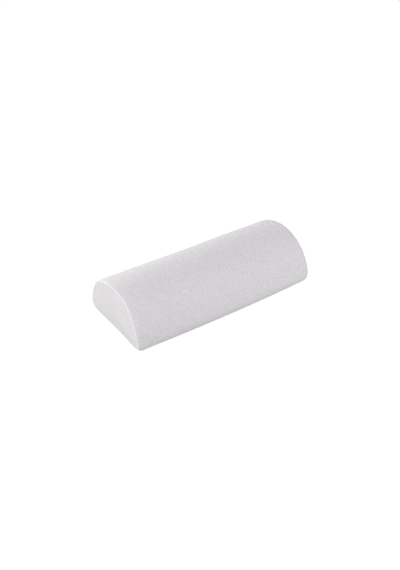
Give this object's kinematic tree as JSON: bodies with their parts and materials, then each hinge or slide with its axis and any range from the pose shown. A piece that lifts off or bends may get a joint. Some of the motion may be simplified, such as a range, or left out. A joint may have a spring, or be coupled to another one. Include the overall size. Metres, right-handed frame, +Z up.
{
  "type": "half round bolster",
  "caption": "Half-round foam support bolster with a flat base, soft rounded ends and a removable zipped fabric cover.",
  "frame": {"origin": "centre of the flat base, on the surface that the bolster rests on", "axes": "+X along the bolster, +Y to the rear, where the zip is, +Z up"},
  "size_m": [0.433, 0.197, 0.106],
  "materials": {
    "cover_fabric": "matte",
    "seam_piping": "matte",
    "liner_fabric": "matte",
    "foam": "matte",
    "zip_tape": "matte",
    "zip_teeth": "satin",
    "zip_metal": "polished"
  },
  "bodies": {
    "cover": {"foam_core": "foam", "liner_wrap": "liner_fabric", "liner_left_end": "liner_fabric", "liner_right_end": "liner_fabric", "cover_top_panel": "cover_fabric", "cover_base_panel": "cover_fabric", "cover_left_end_panel": "cover_fabric", "cover_right_end_panel": "cover_fabric", "left_piping": "seam_piping", "right_piping": "seam_piping", "zip_upper_tape": "zip_tape", "zip_lower_tape": "zip_tape", "zip_upper_teeth": "zip_teeth", "zip_lower_teeth": "zip_teeth", "zip_bottom_stop": "zip_metal", "zip_top_stop_upper": "zip_metal", "zip_top_stop_lower": "zip_metal", "zip_left_tab": "cover_fabric", "zip_right_tab": "cover_fabric"},
    "slider": {"zip_slider": "zip_metal"},
    "pull": {"zip_pull": "zip_metal"}
  },
  "joints": [
    {"name": "zip_slide", "type": "slide", "parent": "cover", "child": "slider", "axis": [-1, 0, 0], "range_m": [0, 0.3618], "deforming": ["zip_upper_teeth", "zip_lower_teeth"]},
    {"name": "zip_pull_swing", "type": "hinge", "parent": "slider", "child": "pull", "pos_m": [0.18094, 0.09583, 0.0371], "axis": [0, 0.3086, -0.9512], "range_deg": [0, 180]}
  ]
}
